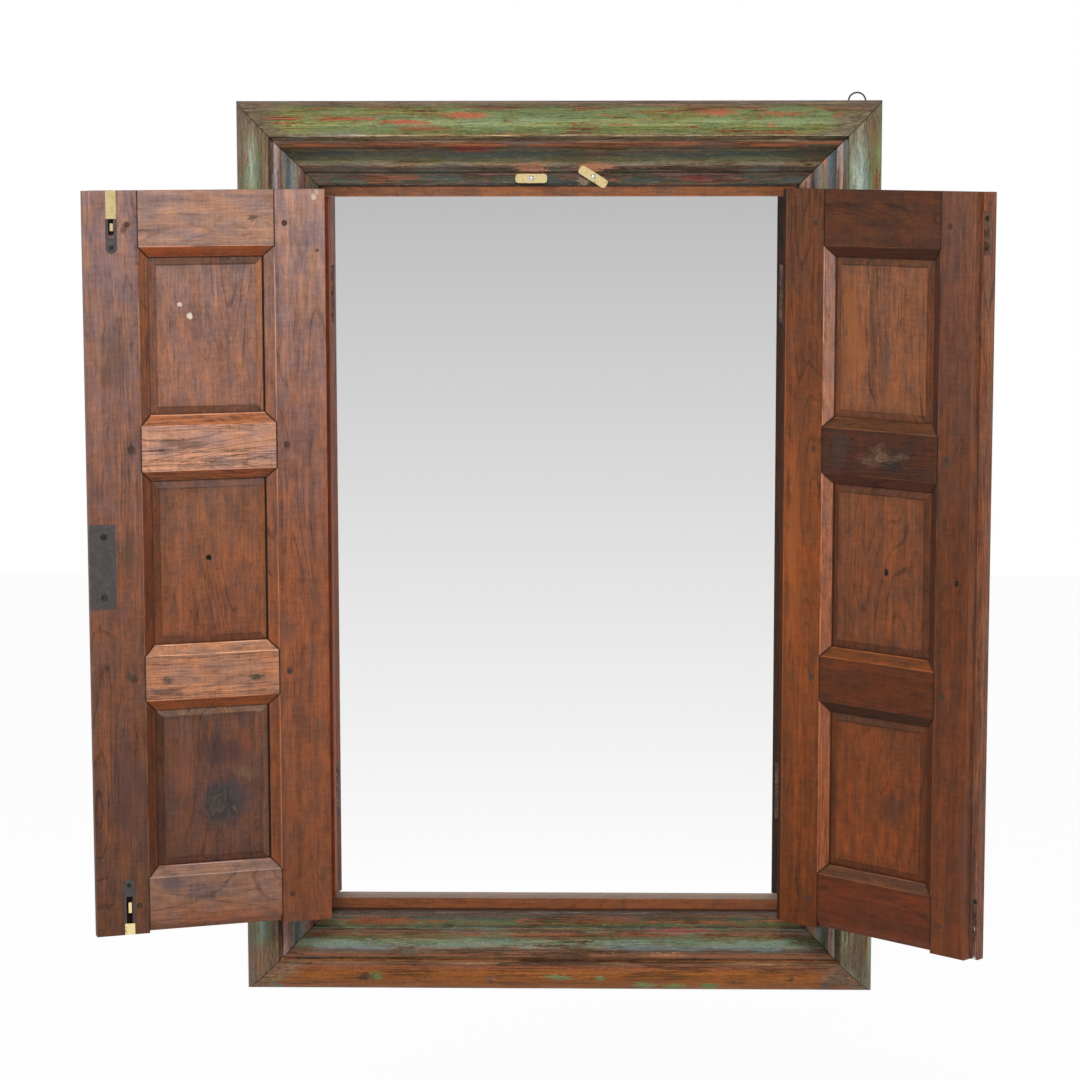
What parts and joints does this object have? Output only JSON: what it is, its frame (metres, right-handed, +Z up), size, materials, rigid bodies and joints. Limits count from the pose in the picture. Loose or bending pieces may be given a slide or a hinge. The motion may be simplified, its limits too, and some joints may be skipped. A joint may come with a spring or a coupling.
{
  "type": "shutter mirror",
  "caption": "Wall mirror in a moulded, mitred wooden frame with two panelled shutter leaves on butt hinges, flush bolts, turn buttons and hanging rings.",
  "frame": {"origin": "centre of the frame's back, on the wall plane", "axes": "+X to the viewer's right, +Y into the wall, +Z up"},
  "size_m": [1.1131, 0.28, 1.169],
  "materials": {
    "painted_wood": "old green paint worn through to red-brown teak",
    "leaf_wood": "waxed old teak",
    "strip_wood": "plain orange-brown teak",
    "board": "plain ply",
    "mirror": "silvered glass",
    "iron": "dark aged iron",
    "brass": "rubbed brass",
    "steel": "dull steel"
  },
  "bodies": {
    "frame": {"frame_head": "painted_wood", "frame_sill": "painted_wood", "frame_left_jamb": "painted_wood", "frame_right_jamb": "painted_wood", "frame_pegs": "leaf_wood", "strip_top": "strip_wood", "strip_bottom": "strip_wood", "strip_left": "strip_wood", "strip_right": "strip_wood", "mirror_glass": "mirror", "backing_board": "board", "back_screws": "iron", "top_left_hinge_frame_leaf": "iron", "bottom_left_hinge_frame_leaf": "iron", "top_right_hinge_frame_leaf": "iron", "bottom_right_hinge_frame_leaf": "iron", "hinge_pins": "iron", "frame_hinge_screws": "iron", "turn_button_screws": "steel", "turn_button_washers": "brass", "left_hanger_strap": "iron", "right_hanger_strap": "iron"},
    "left_leaf": {"left_hinge_stile": "leaf_wood", "left_meeting_stile": "leaf_wood", "left_top_rail": "leaf_wood", "left_upper_mid_rail": "leaf_wood", "left_lower_mid_rail": "leaf_wood", "left_bottom_rail": "leaf_wood", "left_top_panel": "leaf_wood", "left_middle_panel": "leaf_wood", "left_bottom_panel": "leaf_wood", "left_tenon_pegs": "leaf_wood", "top_left_hinge_door_leaf": "iron", "bottom_left_hinge_door_leaf": "iron", "left_screws": "iron", "lock_plate": "iron", "top_bolt_plate": "iron", "bottom_bolt_plate": "iron"},
    "right_leaf": {"right_hinge_stile": "leaf_wood", "right_meeting_stile": "leaf_wood", "right_top_rail": "leaf_wood", "right_upper_mid_rail": "leaf_wood", "right_lower_mid_rail": "leaf_wood", "right_bottom_rail": "leaf_wood", "right_top_panel": "leaf_wood", "right_middle_panel": "leaf_wood", "right_bottom_panel": "leaf_wood", "right_tenon_pegs": "leaf_wood", "top_right_hinge_door_leaf": "iron", "bottom_right_hinge_door_leaf": "iron", "right_screws": "iron", "keep_plate": "iron", "edge_bolt_plate": "iron"},
    "top_bolt": {"top_bolt": "brass"},
    "bottom_bolt": {"bottom_bolt": "brass"},
    "edge_bolt": {"edge_bolt": "steel"},
    "left_turn_button": {"left_turn_button": "brass"},
    "right_turn_button": {"right_turn_button": "brass"},
    "left_hanging_ring": {"left_hanging_ring": "iron"},
    "right_hanging_ring": {"right_hanging_ring": "iron"}
  },
  "joints": [
    {"name": "left_leaf_hinge", "type": "hinge", "parent": "frame", "child": "left_leaf", "pos_m": [-0.30225, -0.0605, 0], "axis": [0, 0, -1], "range_deg": [-161, 11]},
    {"name": "right_leaf_hinge", "type": "hinge", "parent": "frame", "child": "right_leaf", "pos_m": [0.30225, -0.0605, 0], "axis": [0, 0, 1], "range_deg": [-138, 34]},
    {"name": "top_bolt_slide", "type": "slide", "parent": "left_leaf", "child": "top_bolt", "axis": [0, 0, 1], "range_m": [0, 0.012]},
    {"name": "bottom_bolt_slide", "type": "slide", "parent": "left_leaf", "child": "bottom_bolt", "axis": [0, 0, -1], "range_m": [0, 0.012]},
    {"name": "edge_bolt_slide", "type": "slide", "parent": "right_leaf", "child": "edge_bolt", "axis": [0, 0, -1], "range_m": [0, 0.012]},
    {"name": "left_button_turn", "type": "hinge", "parent": "frame", "child": "left_turn_button", "pos_m": [-0.034, -0.0588, 0.4815], "axis": [0, -1, 0], "continuous": true},
    {"name": "right_button_turn", "type": "hinge", "parent": "frame", "child": "right_turn_button", "pos_m": [0.044, -0.0588, 0.4835], "axis": [0, -1, 0], "continuous": true},
    {"name": "left_ring_swing", "type": "hinge", "parent": "frame", "child": "left_hanging_ring", "pos_m": [-0.38, -0.0024, 0.57], "axis": [1, 0, 0], "range_deg": [0, 180]},
    {"name": "right_ring_swing", "type": "hinge", "parent": "frame", "child": "right_hanging_ring", "pos_m": [0.38, -0.0024, 0.57], "axis": [-1, 0, 0], "range_deg": [0, 180]}
  ]
}
